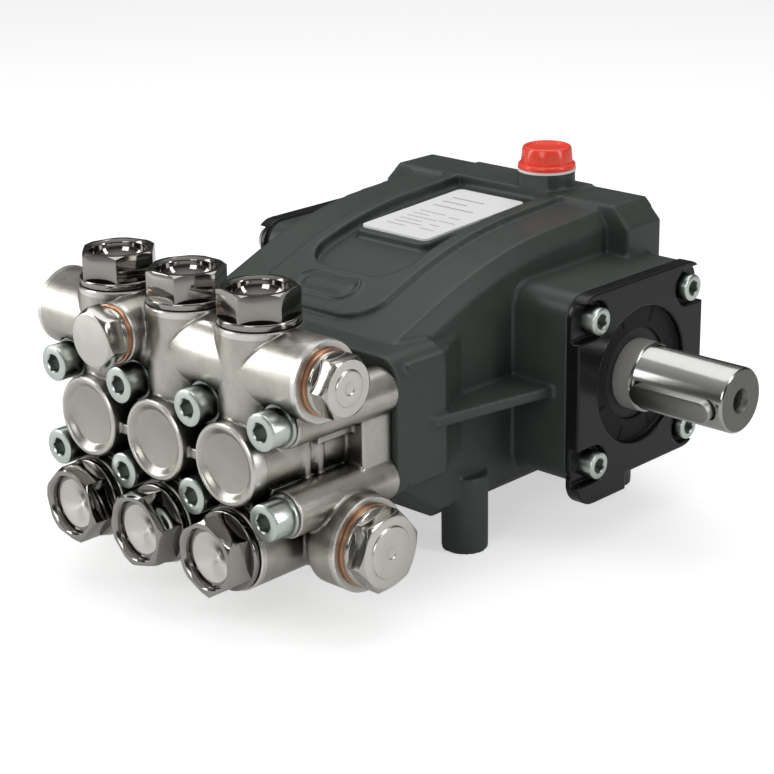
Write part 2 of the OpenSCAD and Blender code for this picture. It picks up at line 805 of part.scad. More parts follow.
module manifold_outside() {
    // Back plate against the crankcase
    slab_y(-joint_y - 14, -joint_y)
        round_rect(-flange_half + 2.5, flange_half - 2.5, -22, 22, 6);
    for (x = bolt_xs, z = [-1, 1] * bolt_row)
        translate([x, 0, z]) bar_y(-joint_y - bolt_seat, -joint_y, bolt_tube_r);
    for (x = cylinders) translate([x, 0, 0]) {
        bar_y(-front_y, -joint_y, disc_r);
        translate([0, -valve_y, 0]) bar_z(0, tower_top, tower_r);
        translate([0, 0, -inlet_drop]) bar_y(-inlet_face, -joint_y - 8, inlet_boss_r);
        // Web between the cylinder and the inlet boss
        block([-7, -front_y + 5, -inlet_drop + 8], [7, -joint_y - 4, -8]);
    }
    // Core that joins the three cylinders
    block([-plunger_pitch, -joint_y - 34, -14], [plunger_pitch, -joint_y - 1, 12]);
    block([-plunger_pitch - 4, -joint_y - 36, -inlet_drop - 10], [plunger_pitch + 4, -joint_y - 12, -12]);
    // Ribs between neighbouring discs
    block([-plunger_pitch, -front_y + 2.5, -3.2], [plunger_pitch, -front_y + 16, 0.6]);
    // Outlet gallery with its end bosses
    translate([0, -valve_y, outlet_rise])
        bar_x(-gallery_half, gallery_half, outlet_boss_r);
    // Front bosses of the outlet gallery, one plugged and one plain
    translate([-plunger_pitch / 2, 0, front_boss_z])
        bar_y(-front_boss_end, -valve_y + 10, front_port_r + 5);
    translate([plunger_pitch / 2, 0, outlet_rise + 2])
        bar_y(-valve_y - 8, -valve_y + 10, 10.5);
    // Inlet gallery with larger end bosses
    translate([0, -inlet_gallery_y, -inlet_drop]) {
        bar_x(-gallery_half - 1, gallery_half + 1, inlet_boss_r - 1.2);
        both_sides() bar_x(gallery_half - 11, inlet_port_face, inlet_gallery_boss_r);
    }
    // Shoulders that tie the outer towers to the bolt tubes
    both_sides() {
        block([plunger_pitch, -joint_y - 30, 4], [plunger_pitch * 1.5, -joint_y - 2, 16]);
        for (y = [25, 31]) block([plunger_pitch, -joint_y - y - 2.4, -14],
                                 [plunger_pitch + 14.6, -joint_y - y, 14]);
    }
}

module manifold_inside() {
    for (x = bolt_xs, z = [-1, 1] * bolt_row)
        translate([x, 0, z]) {
            bar_y(-joint_y - bolt_seat - 1, -joint_y + 1, bolt_r + 0.3);
            bar_y(-front_y - 1, -joint_y - bolt_seat, spot_r);
        }
    for (x = cylinders) translate([x, 0, 0]) {
        bar_y(-joint_y - packing_len, -joint_y + 1, packing_r);
        bar_y(-front_y + 7, -joint_y - packing_len + 1, plunger_d / 2 + 0.7);
        // Shallow round recess in each front disc
        facing_front(front_y - disc_dish) cylinder(h = disc_dish + 0.01, r1 = disc_r - 4.2, r2 = disc_r - 1.9);
        // Outlet valve chamber, seat bore and passage
        translate([0, -valve_y, 0]) {
            bar_z(outlet_seat_z + seat_len, tower_top + 1, chamber_r);
            bar_z(outlet_seat_z, tower_top, seat_r);
            bar_z(0, outlet_seat_z + 1, 7);
        }
        // Inlet valve chamber, seat bore and passage up to the plunger
        translate([0, 0, -inlet_drop]) {
            bar_y(-inlet_face - 1, -inlet_seat_y - seat_len, chamber_r);
            bar_y(-inlet_face, -inlet_seat_y, seat_r);
            bar_y(-inlet_seat_y - 1, -inlet_gallery_y, 7);
        }
        translate([0, -passage_y, 0]) bar_z(-inlet_drop, 0, 6.5);
    }
    // Galleries and their port threads
    translate([0, -valve_y, outlet_rise]) {
        bar_x(-gallery_half + 12, gallery_half - 12, 6);
        both_sides() bar_x(gallery_half - 14, gallery_half + 1, outlet_port_r);
    }
    translate([-plunger_pitch / 2, 0, front_boss_z])
        bar_y(-front_boss_end - 1, -valve_y, front_port_r);
    translate([0, -inlet_gallery_y, -inlet_drop]) {
        bar_x(-gallery_half + 7, gallery_half - 7, gallery_r);
        both_sides() bar_x(inlet_port_face - inlet_port_depth, inlet_port_face + 1, inlet_port_r);
    }
}

module valve_manifold() {
    color(nickel) at_crank() difference() {
        manifold_outside();
        manifold_inside();
    }
}

// ---------------------------------------------------------------- valves

// Places a piece drawn from the valve seat upwards at one outlet or inlet valve
module at_outlet(i) { translate([cylinders[i], -valve_y, outlet_seat_z]) children(); }
module at_inlet(i) {
    translate([cylinders[i], -inlet_seat_y, -inlet_drop]) rotate([90, 0, 0]) children();
}
module at_every_valve() { for (i = [0:2]) { at_outlet(i) children(); at_inlet(i) children(); } }

poppet_r = 7.6;
outlet_spring_top = tower_top - outlet_seat_z - 5;
inlet_spring_top = inlet_face - inlet_seat_y - 5;
outlet_cage_len = tower_top - outlet_seat_z - seat_len - outlet_neck - 2 * lay;
inlet_cage_len = inlet_face - inlet_seat_y - seat_len - inlet_neck - 2 * lay;

module valve_seats() {
    color(ground_steel) at_crank() at_every_valve() difference() {
        cylinder(h = seat_len, r = seat_r - 0.05);
        translate([0, 0, -1]) cylinder(h = seat_len + 2, r = 5.4);
        translate([0, 0, seat_len - 1.2]) cylinder(h = 1.3, r1 = 5.4, r2 = 6.7);
    }
}

module valve_cage(h) {
    translate([0, 0, seat_len + lay]) difference() {
        ring(8.6, chamber_r - 0.1, h);
        for (a = [45, 135]) rotate([0, 0, a]) block([-20, -4, 1.6], [20, 4, h - 2.2]);
    }
}

module valve_cages() {
    color(ground_steel) at_crank() for (i = [0:2]) {
        at_outlet(i) valve_cage(outlet_cage_len);
        at_inlet(i) valve_cage(inlet_cage_len);
    }
}

module poppet() {
    translate([0, 0, seat_len + 0.05]) {
        cylinder(h = 2, r = poppet_r);
        cylinder(h = 5, r = 3);
    }
    translate([0, 0, seat_len - 2.5]) cylinder(h = 3, r = 3.6);
}

module outlet_valve(i) { color(ground_steel) at_crank() at_outlet(i) poppet(); }
module inlet_valve(i) { color(ground_steel) at_crank() at_inlet(i) poppet(); }

module outlet_valve_springs() {
    color(nickel) at_crank() for (i = [0:2]) at_outlet(i) translate([0, 0, seat_len + 2.15])
        coil_spring(4.3, 0.5, outlet_spring_top - seat_len - 2.3, 5);
}

module inlet_valve_springs() {
    color(nickel) at_crank() for (i = [0:2]) at_inlet(i) translate([0, 0, seat_len + 2.15])
        coil_spring(4.3, 0.5, inlet_spring_top - seat_len - 2.3, 5);
}

// Screwed valve cap, drawn from the face that it closes. Its dish ends in a cone.
module valve_cap(neck, dish, cone) {
    difference() {
        union() {
            translate([0, 0, -neck]) cylinder(h = neck + 1, r = chamber_r - 0.15);
            translate([0, 0, cap_seal_t]) cylinder(h = cap_flange_h, r = flange_r);
            translate([0, 0, cap_seal_t + cap_flange_h - 0.01]) hex_prism(cap_af, cap_hex_h, 1.4);
        }
        translate([0, 0, -neck - 1]) cylinder(h = neck - 3.9, r = 5.3);
        translate([0, 0, cap_rim - dish]) cylinder(h = dish + 1, r = dish_r);
        translate([0, 0, cap_rim - 1]) cylinder(h = 1.1, r1 = dish_r, r2 = dish_r + 0.8);
        translate([0, 0, cap_rim - dish - cone]) cylinder(h = cone + 0.1, r1 = 0.2, r2 = dish_r - 1.3);
    }
}

module outlet_valve_caps() {
    color(dark_nickel) at_crank() for (i = [0:2]) translate([cylinders[i], -valve_y, tower_top])
        rotate([0, 0, outlet_cap_turn[i]]) valve_cap(outlet_neck, 8, 1.6);
}

module inlet_valve_caps() {
    color(dark_nickel) at_crank() for (i = [0:2]) translate([cylinders[i], 0, -inlet_drop])
        facing_front(inlet_face) rotate([0, 0, inlet_cap_turn[i]]) valve_cap(inlet_neck, 2.8, 3.4);
}

module valve_cap_seals() {
    color(rubber) at_crank() for (x = cylinders) {
        translate([x, -valve_y, tower_top]) ring(chamber_r + 0.4, flange_r - 1, cap_seal_t);
        translate([x, 0, -inlet_drop]) facing_front(inlet_face)
            ring(chamber_r + 0.4, flange_r - 1, cap_seal_t);
    }
}

// ---------------------------------------------------------------- port plugs

plug_washer_t = 1.5;

// Hexagon plug drawn from the washer's outer face
module plug(af, flange, thread_r, thread_len) {
    translate([0, 0, -thread_len]) cylinder(h = thread_len + 1, r = thread_r - 0.1);
    cylinder(h = 2.2, r = flange);
    translate([0, 0, 2.1]) hex_prism(af, 6.4, 1.2);
    translate([0, 0, 8.4]) cylinder(h = 0.7, r = af / 2 - 3.5);
}

module at_outlet_plug() { translate([0, -valve_y, outlet_rise]) facing_drive(gallery_half) children(); }
module at_inlet_plug() {
    translate([0, -inlet_gallery_y, -inlet_drop]) facing_drive(inlet_port_face) children();
}
module at_front_plug() {
    translate([-plunger_pitch / 2, 0, front_boss_z]) facing_front(front_boss_end) children();
}

module port_plugs() {
    color(nickel) at_crank() {
        at_outlet_plug() translate([0, 0, plug_washer_t])
            plug(19, outlet_port_r + 3.3, outlet_port_r, 10);
        at_inlet_plug() translate([0, 0, plug_washer_t])
            rotate([0, 0, 10]) plug(25, inlet_port_r + 4.6, inlet_port_r, 8.5);
        at_front_plug() translate([0, 0, plug_washer_t])
            rotate([0, 0, 12]) plug(19, front_port_r + 4.4, front_port_r, 8);
    }
}

module plug_washers() {
    color(copper) at_crank() {
        at_outlet_plug() ring(outlet_port_r + 0.2, outlet_port_r + 3.8, plug_washer_t);
        at_inlet_plug() ring(inlet_port_r + 0.2, inlet_port_r + 5, plug_washer_t);
        at_front_plug() ring(front_port_r + 0.2, front_port_r + 4.8, plug_washer_t);
    }
}

// ---------------------------------------------------------------- head bolts

module at_head_bolts() {
    for (x = bolt_xs, z = [-1, 1] * bolt_row) translate([x, 0, z])
        facing_front(joint_y + bolt_seat) children();
}

module head_bolts() {
    color(zinc) at_crank() at_head_bolts() translate([0, 0, washer_t]) difference() {
        union() {
            translate([0, 0, -washer_t - bolt_seat - 17]) cylinder(h = 18, r = tap_m8 - 0.05);
            translate([0, 0, -washer_t - bolt_seat]) cylinder(h = bolt_seat + washer_t + 1, r = bolt_r);
            cylinder(h = bolt_head_h - 0.8, r = bolt_head_r);
            translate([0, 0, bolt_head_h - 0.81])
                cylinder(h = 0.81, r1 = bolt_head_r, r2 = bolt_head_r - 0.8);
        }
        translate([0, 0, bolt_head_h - 4.6]) cylinder(h = 5, r = 6 / sqrt(3), $fn = 6);
    }
}

module head_bolt_washers() {
    color(zinc) at_crank() at_head_bolts() ring(bolt_r + 0.3, bolt_head_r + 1, washer_t);
}

// ---------------------------------------------------------------- oil cap

cap_ring_t = 0.9;

module at_filler() { translate([filler_x, filler_y, filler_top]) children(); }

module oil_cap_gasket() {
    color(label_white) at_crank() at_filler() ring(filler_r + 0.3, 11.2, cap_ring_t);
}

module oil_cap() {
    color(cap_red) at_crank() at_filler() translate([0, 0, cap_ring_t]) difference() {
        union() {
            translate([0, 0, -11]) cylinder(h = 12, r = filler_r - 0.3);
            cylinder(h = 2, r = 11);
            translate([0, 0, 1.9]) cylinder(h = 6.6, r1 = 9.9, r2 = 9.4);
        }
        translate([0, 0, 7.6]) cylinder(h = 2, r = 7.4);
        translate([0, 0, -12]) cylinder(h = 12, r = filler_r - 2.2);
    }
}

// ---------------------------------------------------------------- nodes

crankcase();
rear_cover();
case_gaskets();
rear_cover_screws();
drive_side_cover();
blind_side_cover();
side_cover_screws();
shaft_oil_seal();
bearing_outer_rings();
bearing_inner_rings();
bearing_cages();
crankshaft();
drive_key();
for (i = [0:2]) {
    conrod(i);
    conrod_cap(i);
    conrod_screws(i);
    wrist_pin(i);
    crosshead(i);
    plunger(i);
    plunger_bolt(i);
    outlet_valve(i);
    inlet_valve(i);
}
rod_oil_seals();
valve_manifold();
packing_guide_rings();
plunger_packings();
valve_seats();
valve_cages();
outlet_valve_springs();
inlet_valve_springs();
outlet_valve_caps();
inlet_valve_caps();
valve_cap_seals();
port_plugs();
plug_washers();
head_bolts();
head_bolt_washers();
identification_plate();
sight_glass();
oil_drain_plug();
oil_cap();
oil_cap_gasket();
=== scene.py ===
import math

import bmesh
import bpy
from mathutils import Matrix, Vector
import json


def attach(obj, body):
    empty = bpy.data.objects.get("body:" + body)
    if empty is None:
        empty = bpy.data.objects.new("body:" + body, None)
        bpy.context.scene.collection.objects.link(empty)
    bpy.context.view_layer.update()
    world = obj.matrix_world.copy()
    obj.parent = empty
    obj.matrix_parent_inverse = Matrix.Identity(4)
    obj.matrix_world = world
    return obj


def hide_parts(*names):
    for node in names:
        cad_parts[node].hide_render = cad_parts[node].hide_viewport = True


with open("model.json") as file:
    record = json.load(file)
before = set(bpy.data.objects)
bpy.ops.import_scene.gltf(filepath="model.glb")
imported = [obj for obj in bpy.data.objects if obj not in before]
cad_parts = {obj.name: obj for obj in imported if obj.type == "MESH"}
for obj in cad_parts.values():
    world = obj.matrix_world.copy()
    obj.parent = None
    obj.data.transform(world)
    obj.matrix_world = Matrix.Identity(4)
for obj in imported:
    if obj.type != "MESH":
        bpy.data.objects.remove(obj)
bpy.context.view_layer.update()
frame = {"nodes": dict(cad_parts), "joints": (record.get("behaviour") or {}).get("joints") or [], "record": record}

# ---------------------------------------------------------------- camera
# A long lens from in front and to the drive side, a little above the pump, as for a catalogue.
# The direction is the way back from the pump to the camera, and the roll tips it a little.

azimuth, elevation, roll = (math.radians(a) for a in (43.76, 19.36, -0.93))
back = Vector((math.sin(azimuth) * math.cos(elevation),
               -math.cos(azimuth) * math.cos(elevation),
               math.sin(elevation)))
level = Vector((math.cos(azimuth), math.sin(azimuth), 0.0))
upright = back.cross(level)
right = level * math.cos(roll) + upright * math.sin(roll)
up = upright * math.cos(roll) - level * math.sin(roll)

camera = bpy.data.objects.new("camera", bpy.data.cameras.new("camera"))
camera.data.sensor_width = 36.0
camera.data.lens = 99.0
camera.data.clip_start = 0.02
camera.matrix_world = Matrix((right, up, back)).transposed().to_4x4()
camera.location = (0.5196, -0.5756, 0.3118)
bpy.context.scene.collection.objects.link(camera)
bpy.context.scene.camera = camera

# ---------------------------------------------------------------- studio
# A white sweep under the pump, with soft boxes over it. Black flags between the boxes give the
# bright metal its dark reflections, so the sky is only bright where a box would stand.

mm = 0.001


def new_material(name, colour, roughness, metallic=0.0):
    """A Principled material, with what is the same all over set on the shader itself."""
    material = bpy.data.materials.new(name)
    material.use_nodes = True
    shader = material.node_tree.nodes["Principled BSDF"]
    shader.inputs["Base Color"].default_value = (*colour, 1.0)
    shader.inputs["Roughness"].default_value = roughness
    shader.inputs["Metallic"].default_value = metallic
    return material


def show(mesh, name, *materials):
    """Links a finished mesh as an object at the origin, with its finishes."""
    piece = bpy.data.objects.new(name, mesh)
    bpy.context.scene.collection.objects.link(piece)
    for material in materials:
        mesh.materials.append(material)
    return piece


def built(bm, name, *materials, smooth=True):
    """Turns a bmesh into a piece."""
    mesh = bpy.data.meshes.new(name)
    bm.to_mesh(mesh)
    bm.free()
    for face in mesh.polygons:
        face.use_smooth = smooth
    return show(mesh, name, *materials)


sweep_paper = new_material("sweep_paper", (0.72, 0.72, 0.72), 0.9)
paper_shader = sweep_paper.node_tree.nodes["Principled BSDF"]
paper_shader.inputs["Emission Color"].default_value = (1.0, 1.0, 1.0, 1.0)
paper_seen = sweep_paper.node_tree.nodes.new("ShaderNodeLightPath")
paper_glow = sweep_paper.node_tree.nodes.new("ShaderNodeMapRange")
paper_glow.inputs["To Min"].default_value = 0.10
paper_glow.inputs["To Max"].default_value = 0.56
sweep_paper.node_tree.links.new(paper_seen.outputs["Is Camera Ray"], paper_glow.inputs["Value"])
sweep_paper.node_tree.links.new(paper_glow.outputs[0], paper_shader.inputs["Emission Strength"])
sweep_bm = bmesh.new()
bmesh.ops.create_grid(sweep_bm, x_segments=1, y_segments=1, size=6.0)
sweep = built(sweep_bm, "studio_sweep", sweep_paper, smooth=False)


def soft_box(name, place, target, width, height, watts):
    """A rectangular lamp, in metres and watts, that faces a target."""
    light = bpy.data.lights.new(name, "AREA")
    light.shape = "RECTANGLE"
    light.size = width
    light.size_y = height
    light.energy = watts
    box = bpy.data.objects.new(name, light)
    box.location = place
    box.rotation_euler = (Vector(target) - Vector(place)).to_track_quat("-Z", "Y").to_euler()
    bpy.context.scene.collection.objects.link(box)


middle = (0.0, -0.03, 0.06)
soft_box("overhead_box", (-0.15, 0.15, 0.95), middle, 0.9, 0.9, 3.1)
soft_box("front_left_box", (-0.75, -0.75, 0.45), middle, 0.35, 0.8, 4.2)
soft_box("right_strip", (0.95, 0.25, 0.50), middle, 0.22, 0.8, 2.8)
soft_box("camera_fill", (0.35, -1.10, 0.55), middle, 0.5, 0.5, 2.8)

world = bpy.data.worlds.new("studio_room")
bpy.context.scene.world = world
world.use_nodes = True
sky = world.node_tree
room = sky.nodes["Background"]
direction = sky.nodes.new("ShaderNodeTexCoord")
split = sky.nodes.new("ShaderNodeSeparateXYZ")
height_ramp = sky.nodes.new("ShaderNodeValToRGB")
sky.links.new(direction.outputs["Generated"], split.inputs[0])
sky.links.new(split.outputs["Z"], height_ramp.inputs[0])
ramp = height_ramp.color_ramp
ramp.elements[0].position, ramp.elements[0].color = 0.0, (0.30, 0.30, 0.30, 1)
ramp.elements[1].position, ramp.elements[1].color = 0.95, (0.60, 0.60, 0.60, 1)
for position, value in ((0.10, 0.08), (0.32, 0.05), (0.55, 0.25)):
    ramp.elements.new(position).color = (value, value, value, 1)
backdrop = sky.nodes.new("ShaderNodeBackground")
backdrop.inputs["Color"].default_value = (1, 1, 1, 1)
seen = sky.nodes.new("ShaderNodeLightPath")
choose = sky.nodes.new("ShaderNodeMixShader")
sky.links.new(height_ramp.outputs["Color"], room.inputs["Color"])
sky.links.new(seen.outputs["Is Camera Ray"], choose.inputs[0])
sky.links.new(room.outputs[0], choose.inputs[1])
sky.links.new(backdrop.outputs[0], choose.inputs[2])
sky.links.new(choose.outputs[0], sky.nodes["World Output"].inputs["Surface"])
bpy.context.scene.view_settings.view_transform = "Standard"

# ---------------------------------------------------------------- crankcase
# A pressure die casting in aluminium, shot blasted and painted satin black. The foundry leaves a
# small fillet on every edge, and the paint keeps the fine grain of the blasted skin.

crank = Vector(next(j["pos_m"] for j in frame["joints"] if j["name"] == "crank_spin"))


def at(x, y, z):
    """A place given in millimetres from the crank axis."""
    return crank + Vector((x, y, z)) * mm


def new_group(name, inputs, outputs):
    """An empty shader group with named number inputs and outputs."""
    group = bpy.data.node_groups.new(name, "ShaderNodeTree")
    for label, value in inputs:
        socket = group.interface.new_socket(label, in_out="INPUT", socket_type="NodeSocketFloat")
        socket.default_value = value
    for label in outputs:
        group.interface.new_socket(label, in_out="OUTPUT", socket_type="NodeSocketFloat")
    return group, group.nodes.new("NodeGroupInput"), group.nodes.new("NodeGroupOutput")


def arithmetic(tree, operation, first, second):
    """One maths node; each operand is a number or a socket."""
    node = tree.nodes.new("ShaderNodeMath")
    node.operation = operation
    for index, operand in enumerate((first, second)):
        if isinstance(operand, (int, float)):
            node.inputs[index].default_value = operand
        else:
            tree.links.new(operand, node.inputs[index])
    return node.outputs[0]


def grain_group():
    """Blasted grain: a fine height, and a slow mottle for colour and gloss. Size is in millimetres."""
    group, given, result = new_group("blasted_grain", [("Size", 0.6)], ["Height", "Mottle"])
    place = group.nodes.new("ShaderNodeTexCoord").outputs["Object"]
    fineness = arithmetic(group, "DIVIDE", 1 / mm, given.outputs["Size"])
    fine = group.nodes.new("ShaderNodeTexNoise")
    fine.inputs["Detail"].default_value = 3.0
    slow = group.nodes.new("ShaderNodeTexNoise")
    slow.inputs["Detail"].default_value = 4.0
    slow.inputs["Roughness"].default_value = 0.65
    group.links.new(place, fine.inputs["Vector"])
    group.links.new(place, slow.inputs["Vector"])
    group.links.new(fineness, fine.inputs["Scale"])
    group.links.new(arithmetic(group, "MULTIPLY", fineness, 0.05), slow.inputs["Scale"])
    group.links.new(fine.outputs["Fac"], result.inputs["Height"])
    group.links.new(slow.outputs["Fac"], result.inputs["Mottle"])
    return group


def painted_light_group():
    """Painted highlight on sharp edges and painted shade in hollows, both read from the mesh's pointiness."""
    group, given, result = new_group("edge_highlight_and_hollow_shade", [("From", 0.53), ("To", 0.62)], ["Wear", "PaintedShade"])
    # High pointiness gives the mask for a painted highlight on edges, low pointiness the mask for painted shade in
    # hollows.
    geometry = group.nodes.new("ShaderNodeNewGeometry")
    band = group.nodes.new("ShaderNodeMapRange")
    group.links.new(geometry.outputs["Pointiness"], band.inputs["Value"])
    group.links.new(given.outputs["From"], band.inputs["From Min"])
    group.links.new(given.outputs["To"], band.inputs["From Max"])
    group.links.new(band.outputs[0], result.inputs["Wear"])
    hollow = group.nodes.new("ShaderNodeMapRange")
    hollow.inputs["From Min"].default_value = 0.485
    hollow.inputs["From Max"].default_value = 0.42
    group.links.new(geometry.outputs["Pointiness"], hollow.inputs["Value"])
    group.links.new(hollow.outputs[0], result.inputs["PaintedShade"])
    return group


blasted_grain = grain_group()
edge_highlight_and_hollow_shade = painted_light_group()


def place_group(tree, group, **values):
    """A shader group set into a material, with its own values."""
    node = tree.nodes.new("ShaderNodeGroup")
    node.node_tree = group
    for label, value in values.items():
        node.inputs[label].default_value = value
    return node


def mixed(tree, share, first, second):
    """A colour between two, by a mask; each end is a colour or a socket."""
    node = tree.nodes.new("ShaderNodeMix")
    node.data_type = "RGBA"
    tree.links.new(share, node.inputs["Factor"])
    for socket, end in ((node.inputs[6], first), (node.inputs[7], second)):
        if isinstance(end, tuple):
            socket.default_value = (*end, 1.0)
        else:
            tree.links.new(end, socket)
    return node.outputs[2]


def ranged(tree, value, low, high):
    """A mask from zero to one, spread between two numbers."""
    node = tree.nodes.new("ShaderNodeMapRange")
    tree.links.new(value, node.inputs["Value"])
    node.inputs["To Min"].default_value = low
    node.inputs["To Max"].default_value = high
    return node.outputs[0]


def grained(material, dark, light, gloss, size, depth, edge=None, highlight_band=(0.53, 0.62)):
    """Gives a material blasted grain, mottled colour and gloss, and, with an edge colour, a painted highlight on its
    edges and painted shade in its hollows.
    """
    tree = material.node_tree
    shader = tree.nodes["Principled BSDF"]
    grain = place_group(tree, blasted_grain, Size=size)
    colour = mixed(tree, grain.outputs["Mottle"], dark, light)
    if edge:
        # With an edge colour, sharp edges get it as a painted highlight, and hollows get painted shade at 0.35 of the
        # dark colour.
        painted_light_masks = place_group(tree, edge_highlight_and_hollow_shade, From=highlight_band[0], To=highlight_band[1])
        colour = mixed(tree, painted_light_masks.outputs["Wear"], colour, edge)
        colour = mixed(tree, painted_light_masks.outputs["PaintedShade"], colour, tuple(0.35 * part for part in dark))
    tree.links.new(colour, shader.inputs["Base Color"])
    tree.links.new(ranged(tree, grain.outputs["Mottle"], *gloss), shader.inputs["Roughness"])
    bump = tree.nodes.new("ShaderNodeBump")
    bump.inputs["Distance"].default_value = depth * mm
    tree.links.new(grain.outputs["Height"], bump.inputs["Height"])
    tree.links.new(bump.outputs["Normal"], shader.inputs["Normal"])
    return material


def casting(node, name, voxel, rounds, triangles, *materials):
    """A casting from its CAD solid, with foundry fillets worked into every edge."""
    bm = bmesh.new()
    bm.from_mesh(frame["nodes"][node].data)
    bmesh.ops.remove_doubles(bm, verts=bm.verts, dist=0.01 * mm)
    rough = built(bm, name + "_rough")
    skin = rough.modifiers.new("skin", "REMESH")
    skin.mode = "VOXEL"
    skin.voxel_size = voxel * mm
    fillet = rough.modifiers.new("fillet", "SMOOTH")
    fillet.factor = 0.5
    fillet.iterations = rounds
    mesh = bpy.data.meshes.new_from_object(rough.evaluated_get(bpy.context.evaluated_depsgraph_get()))
    full = sum(len(face.vertices) - 2 for face in mesh.polygons)
    rough.modifiers.clear()
    rough.data = mesh
    thin = rough.modifiers.new("thin", "DECIMATE")
    thin.ratio = min(1.0, triangles / full)
    level_normals = rough.modifiers.new("normals", "WEIGHTED_NORMAL")
    level_normals.keep_sharp = True
    mesh = bpy.data.meshes.new_from_object(rough.evaluated_get(bpy.context.evaluated_depsgraph_get()))
    bpy.data.objects.remove(rough)
    mesh.materials.clear()
    for face in mesh.polygons:
        face.use_smooth = True
    return show(mesh, name, *materials)


def smooth_faces(piece, angle=30.0):
    """Shades round faces smoothly and keeps corners crisp."""
    piece.data.set_sharp_from_angle(angle=math.radians(angle))
    return piece


def stand_in(piece, body, slot, *nodes):
    """The piece moves with a body and takes the place of CAD nodes, which it hides; the slot is not used."""
    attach(piece, body)
    if nodes:
        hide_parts(*nodes)
    return piece


# The edge colour is a painted highlight on the casting's edges, and its hollows get painted shade.
black_paint = grained(new_material("satin_black_paint", (0.03, 0.035, 0.032), 0.45),
                      (0.027, 0.035, 0.030), (0.045, 0.057, 0.049), (0.38, 0.52),
                      size=0.55, depth=0.05, edge=(0.080, 0.095, 0.085))
crankcase = casting("crankcase", "crankcase_casting", 0.7, 3, 195000, black_paint)
stand_in(crankcase, "pump_body", "cast_black", "crankcase")

# ---------------------------------------------------------------- turned and milled metal
# Nearly every small part is bar stock. It is turned on a lathe, its flats or socket are milled,
# and its sharp edges are broken. Heights run along the part's own axis.


def turned(*stations, segments=80):
    """A solid of revolution about Z, from (radius, height) stations in millimetres."""
    bm = bmesh.new()
    corners = [bm.verts.new((radius * mm, 0.0, height * mm)) for radius, height in stations]
    outline = [bm.edges.new(pair) for pair in zip(corners, corners[1:])]
    bmesh.ops.spin(bm, geom=corners + outline, cent=(0, 0, 0), axis=(0, 0, 1),
                   angle=math.tau, steps=segments, use_merge=True)
    bmesh.ops.remove_doubles(bm, verts=bm.verts, dist=0.001 * mm)
    bmesh.ops.recalc_face_normals(bm, faces=bm.faces)
    return bm


def mill_flats(bm, across, turn=0.0, count=6):
    """Cuts flats all round a blank."""
    for index in range(count):
        angle = math.radians(turn + 360 / count * index)
        outward = Vector((math.cos(angle), math.sin(angle), 0.0))
        cut = bmesh.ops.bisect_plane(bm, geom=bm.verts[:] + bm.edges[:] + bm.faces[:],
                                     plane_co=outward * across / 2 * mm, plane_no=outward,
                                     clear_outer=True, dist=0.0001 * mm)
        rim = [item for item in cut["geom_cut"] if isinstance(item, bmesh.types.BMEdge)]
        bmesh.ops.holes_fill(bm, edges=rim, sides=0)
    return bm


def break_edges(bm, width, angle=24.0, segments=2):
    """Rounds every edge sharper than the angle."""
    sharp = [edge for edge in bm.edges
             if len(edge.link_faces) == 2 and edge.calc_face_angle(0.0) > math.radians(angle)]
    bmesh.ops.bevel(bm, geom=sharp, offset=width * mm, segments=segments, profile=0.5,
                    affect="EDGES", clamp_overlap=True)
    return bm


def joined(*solids):
    """One bmesh that holds several."""
    whole = bmesh.new()
    for solid in solids:
        part = bpy.data.meshes.new("part")
        solid.to_mesh(part)
        solid.free()
        whole.from_mesh(part)
        bpy.data.meshes.remove(part)
    return whole


def repeated(bm, places):
    """A copy of a solid at each place."""
    pattern = bpy.data.meshes.new("pattern")
    bm.to_mesh(pattern)
    bm.free()
    whole = bmesh.new()
    for place in places:
        copy = pattern.copy()
        copy.transform(place)
        whole.from_mesh(copy)
        bpy.data.meshes.remove(copy)
    bpy.data.meshes.remove(pattern)
    return whole


def placed(bm, name, places, *materials):
    """The same turned part at each place. Each keeps its own axis, which its turning marks follow."""
    first = smooth_faces(built(bm, name, *materials))
    copies = [first] + [bpy.data.objects.new(name, first.data) for _ in places[1:]]
    for copy, place in zip(copies, places):
        if copy is not first:
            bpy.context.scene.collection.objects.link(copy)
        copy.matrix_world = place
    return copies


def carved(bm, tool):
    """The solid with the tool's shape taken out of it."""
    work, cutter = built(bm, "work"), built(tool, "cutter")
    cut = work.modifiers.new("cut", "BOOLEAN")
    cut.operation = "DIFFERENCE"
    cut.solver = "EXACT"
    cut.object = cutter
    mesh = bpy.data.meshes.new_from_object(work.evaluated_get(bpy.context.evaluated_depsgraph_get()))
    result = bmesh.new()
    result.from_mesh(mesh)
    for leftover in (work, cutter):
        bpy.data.objects.remove(leftover)
    bpy.data.meshes.remove(mesh)
    return result


def prism(sides, radius, low, high, turn=0.0):
    """An upright prism."""
    bm = bmesh.new()
    bmesh.ops.create_cone(bm, cap_ends=True, segments=sides, radius1=radius * mm, radius2=radius * mm,
                          depth=(high - low) * mm,
                          matrix=Matrix.Translation((0, 0, (low + high) / 2 * mm))
                          @ Matrix.Rotation(math.radians(turn), 4, "Z"))
    return bm


def tinted(bm, index, inner, outer, low, high):
    """Gives a finish to the faces whose middles lie between two radii and two heights."""
    for face in bm.faces:
        middle = face.calc_center_median()
        radius = math.hypot(middle.x, middle.y) / mm
        if inner <= radius <= outer and low <= middle.z / mm <= high:
            face.material_index = index
    return bm


def facing_up(x, y, z, turn=0.0):
    """The place of a part that stands upright."""
    return Matrix.Translation(at(x, y, z)) @ Matrix.Rotation(math.radians(turn), 4, "Z")


def facing_front(x, y, z, turn=0.0):
    """The place of a part that points out of the manifold."""
    return (Matrix.Translation(at(x, y, z)) @ Matrix.Rotation(math.radians(90), 4, "X")
            @ Matrix.Rotation(math.radians(turn), 4, "Z"))


def facing_side(x, y, z, turn=0.0, sign=1):
    """The place of a part that points out along the crankshaft, to the drive side or away from it."""
    return (Matrix.Translation(at(x, y, z)) @ Matrix.Rotation(math.radians(90 * sign), 4, "Y")
            @ Matrix.Rotation(math.radians(turn), 4, "Z"))


